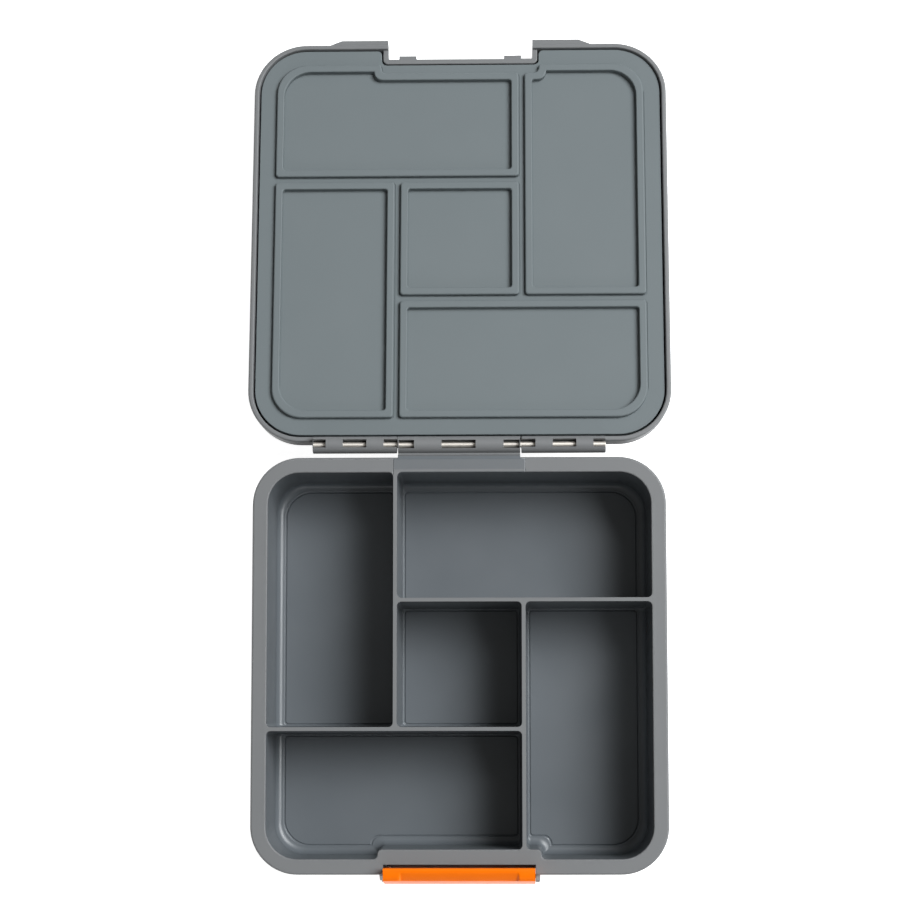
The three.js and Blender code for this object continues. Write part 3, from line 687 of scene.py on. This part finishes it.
class Nodes:
    """A node material being built: add() makes a node, link() joins two sockets."""

    def __init__(self, name):
        self.material = bpy.data.materials.new(name)
        self.material.use_nodes = True
        self.tree = self.material.node_tree
        self.shader = self.tree.nodes["Principled BSDF"]
        self.coordinates = self.add("ShaderNodeTexCoord").outputs["Object"]

    def add(self, kind, **settings):
        node = self.tree.nodes.new(kind)
        for key, value in settings.items():
            setattr(node, key, value)
        return node

    def link(self, source, target):
        self.tree.links.new(source, target)

    def noise(self, size_mm, stretch=(1, 1, 1), detail=2.0):
        """Noise with grains of about this size, longer along the axes that stretch names."""
        mapping = self.add("ShaderNodeMapping")
        mapping.inputs["Scale"].default_value = [1 / (size_mm * MM * s) for s in stretch]
        self.link(self.coordinates, mapping.inputs["Vector"])
        noise = self.add("ShaderNodeTexNoise")
        noise.inputs["Scale"].default_value = 1
        noise.inputs["Detail"].default_value = detail
        self.link(mapping.outputs["Vector"], noise.inputs["Vector"])
        return noise.outputs["Fac"]

    def number(self, noise, low, high):
        """A number from low to high, with the middle of the noise's range spread over all of it."""
        node = self.add("ShaderNodeMapRange")
        node.inputs["From Min"].default_value = 0.3
        node.inputs["From Max"].default_value = 0.7
        node.inputs["To Min"].default_value = low
        node.inputs["To Max"].default_value = high
        self.link(noise, node.inputs["Value"])
        return node.outputs["Result"]

    def colour(self, noise, low, high):
        """A colour between low and high."""
        node = self.add("ShaderNodeMix", data_type="RGBA")
        factor, first, second, result = MIX_SOCKETS["RGBA"]
        self.link(noise, node.inputs[factor])
        node.inputs[first].default_value = (*low, 1)
        node.inputs[second].default_value = (*high, 1)
        return node.outputs[result]

    def mix(self, blend, one, other):
        """Blends two sockets of the same kind, colours or numbers."""
        kind = "RGBA" if one.type == "RGBA" else "FLOAT"
        node = self.add("ShaderNodeMix", data_type=kind)
        factor, first, second, result = MIX_SOCKETS[kind]
        self.link(blend, node.inputs[factor])
        self.link(one, node.inputs[first])
        self.link(other, node.inputs[second])
        return node.outputs[result]

    def bump(self, source, height_mm, strength, below=None):
        """Bumps of this height, on top of those of another bump node if one is given."""
        node = self.add("ShaderNodeBump")
        node.inputs["Strength"].default_value = strength
        node.inputs["Distance"].default_value = height_mm * MM
        self.link(source, node.inputs["Height"])
        if below:
            self.link(below, node.inputs["Normal"])
        return node.outputs["Normal"]

    def set(self, **values):
        for name, value in values.items():
            socket = self.shader.inputs[name.replace("_", " ").title().replace("Ior", "IOR")]
            if isinstance(value, bpy.types.NodeSocket):
                self.link(value, socket)
            else:
                socket.default_value = value


def shell_plastic():
    nodes = Nodes("shell_plastic")
    cloud = nodes.noise(35)
    grain = nodes.noise(0.35, detail=3.0)
    waves = nodes.noise(18, stretch=(1, 1, 0.6), detail=1.0)
    polish_and_shade = nodes.add("ShaderNodeAttribute", attribute_name=POLISH_AND_SHADE).outputs["Fac"]
    textured = nodes.colour(cloud, (0.143, 0.148, 0.152), (0.157, 0.161, 0.164))
    # The polished colour is painted darker than the textured one; in the compartments this darkening is
    # painted shade.
    smooth = nodes.colour(cloud, (0.098, 0.111, 0.122), (0.108, 0.12, 0.131))
    nodes.set(base_color=nodes.mix(polish_and_shade, textured, smooth),
              roughness=nodes.mix(polish_and_shade, nodes.number(grain, 0.48, 0.58), nodes.number(cloud, 0.3, 0.38)),
              normal=nodes.bump(waves, 0.05, 0.45, nodes.bump(grain, 0.008, 0.4)),
              ior=1.49)
    return nodes.material


def seal_silicone():
    nodes = Nodes("seal_silicone")
    cloud = nodes.noise(28)
    grain = nodes.noise(0.25, detail=3.0)
    nodes.set(base_color=nodes.colour(cloud, (0.124, 0.146, 0.153), (0.134, 0.156, 0.163)),
              roughness=nodes.number(grain, 0.55, 0.68),
              normal=nodes.bump(grain, 0.02, 0.6),
              ior=1.41)
    return nodes.material


def latch_plastic():
    nodes = Nodes("latch_plastic")
    cloud = nodes.noise(12)
    grain = nodes.noise(0.3, detail=3.0)
    nodes.set(base_color=nodes.colour(cloud, (0.82, 0.15, 0.0005), (0.87, 0.162, 0.001)),
              roughness=nodes.number(grain, 0.3, 0.4),
              normal=nodes.bump(grain, 0.008, 0.5),
              specular_ior_level=0.1)
    return nodes.material


def pin_steel():
    nodes = Nodes("pin_steel")
    lines = nodes.noise(0.12, stretch=(120, 1, 1), detail=4.0)
    nodes.set(base_color=nodes.colour(lines, (0.68, 0.64, 0.59), (0.8, 0.76, 0.7)),
              metallic=1.0,
              roughness=nodes.number(lines, 0.5, 0.62),
              normal=nodes.bump(lines, 0.01, 0.5))
    return nodes.material


def studio_floor():
    nodes = Nodes("studio_floor")
    grain = nodes.noise(3, detail=4.0)
    nodes.set(base_color=nodes.colour(grain, (0.93, 0.93, 0.93), (0.95, 0.95, 0.95)),
              roughness=nodes.number(grain, 0.75, 0.85),
              emission_color=(1, 1, 1, 1),
              emission_strength=0.84)
    return nodes.material


# ---- Assembly ------------------------------------------------------------------------------------


def polish_and_shade_at(point):
    """How smooth the base is there and how far its colour is painted darker: fully in its compartments,
    where the darker colour is painted shade, and before its hinge; less on the pad.
    """
    below_rim = point.z < RIM_Z - 0.3
    if max(abs(point.x), abs(point.y)) < TUB_HALF + 0.2 and below_rim:
        return 1.0
    if abs(point.x) < PAD_HALF and TUB_HALF < point.y < HINGE.y - BARREL_RADIUS and not below_rim:
        return 0.6 if point.y < BASE_HALF - RIM_ROUND else 1.0
    return 0.0


def clean_mesh(data):
    """Merges the points and flat faces that the cuts split, and shades the rest smoothly."""
    mesh = bmesh.new()
    mesh.from_mesh(data)
    bmesh.ops.remove_doubles(mesh, verts=mesh.verts, dist=0.005 * MM)
    bmesh.ops.dissolve_limit(mesh, angle_limit=math.radians(0.2), verts=mesh.verts, edges=mesh.edges)
    for face in mesh.faces:
        face.smooth = True
    mesh.to_mesh(data)
    mesh.free()


def soften_edges(piece, bevel):
    """Rounds the sharp edges by this width, if one is given, and keeps the flat faces flat."""
    if bevel:
        modifier = piece.modifiers.new("soft_edges", "BEVEL")
        modifier.width = bevel * MM
        modifier.segments = 2
        modifier.limit_method = "ANGLE"
        modifier.angle_limit = SHARP_ANGLE
        modifier.miter_outer = "MITER_ARC"
    piece.data.set_sharp_from_angle(angle=SHARP_ANGLE)
    piece.modifiers.new("flat_faces", "WEIGHTED_NORMAL").keep_sharp = True


def finish_piece(piece, node, body, material, bevel=0.0):
    """Puts a drawn solid in place of its CAD node, with softened edges and smooth shading."""
    place = Matrix.Scale(MM, 4)
    if body == "lid":
        swing = Matrix.Rotation(math.radians(-LID_OPEN_DEG), 4, "X")
        place = place @ Matrix.Translation(HINGE) @ swing @ Matrix.Translation(-HINGE)
    piece.name = node + "_look"
    piece.data.name = piece.name
    piece.data.transform(place)
    clean_mesh(piece.data)
    soften_edges(piece, bevel)
    piece.data.materials.clear()
    piece.data.materials.append(material)
    if node == "base_tub":
        # The base's faces get the mask of smoother finish and painted darker colour, which is painted shade
        # in the compartments.
        polish_and_shade = piece.data.attributes.new(POLISH_AND_SHADE, "FLOAT", "FACE")
        polish_and_shade.data.foreach_set("value", [polish_and_shade_at(face.center / MM) for face in piece.data.polygons])
    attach(piece, body)
    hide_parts(node)


# ---- Studio, in metres and watts -----------------------------------------------------------------


def overhead_camera():
    """A long lens high above the base, a little to the right of its middle and towards its latch."""
    camera = bpy.data.objects.new("camera", bpy.data.cameras.new("camera"))
    camera.location = Vector((25.5, -40.15, RIM_Z + 1113.4)) * MM
    camera.rotation_euler = [math.radians(turn) for turn in (6.594, 1.318, -0.05)]
    camera.data.sensor_width = 36
    camera.data.lens = 101.5
    camera.data.clip_start = 0.05
    bpy.context.scene.collection.objects.link(camera)
    bpy.context.scene.camera = camera


def softbox(name, place, aim, size, watts, colour):
    light = bpy.data.objects.new(name, bpy.data.lights.new(name, "AREA"))
    light.location = place
    light.rotation_euler = (Vector(aim) - Vector(place)).to_track_quat("-Z", "Y").to_euler()
    light.data.shape = "RECTANGLE"
    light.data.size, light.data.size_y = size
    light.data.energy = watts
    light.data.color = colour
    bpy.context.scene.collection.objects.link(light)


def surroundings():
    world = bpy.data.worlds.new("world")
    world.use_nodes = True
    background = world.node_tree.nodes["Background"]
    background.inputs["Color"].default_value = (1, 0.98, 0.95, 1)
    background.inputs["Strength"].default_value = 0.2
    bpy.context.scene.world = world
    bpy.context.scene.view_settings.view_transform = "Standard"


def floor():
    half, corner_radius, thickness = 4000, 400, 10
    slab = loft(square_corners(half, corner_radius), [(-thickness, 0), (0, 0)])
    slab.name = "studio_floor"
    slab.data.transform(Matrix.Scale(MM, 4))
    slab.data.materials.append(studio_floor())


overhead_camera()
softbox("key", (2.2, 1.15, 3.1), (0, 0.08, 0), (2.6, 2.1), 238, (0.98, 1, 1.015))
softbox("fill", (0.5, -2.6, 1.9), (0, 0.05, 0), (2.0, 1.2), 11, (0.97, 1, 1.03))
surroundings()
floor()

plastic = shell_plastic()
silicone = seal_silicone()
orange = latch_plastic()
steel = pin_steel()
finish_piece(base_tub(), "base_tub", "base", plastic, bevel=0.2)
finish_piece(lid_shell(), "lid_shell", "lid", plastic, bevel=0.2)
finish_piece(lid_seal(), "lid_seal", "lid", silicone)
finish_piece(front_latch(), "front_latch", "latch", orange, bevel=0.3)
finish_piece(hinge_pin(), "hinge_pin", "base", steel)
finish_piece(latch_pin(), "latch_pin", "base", steel)
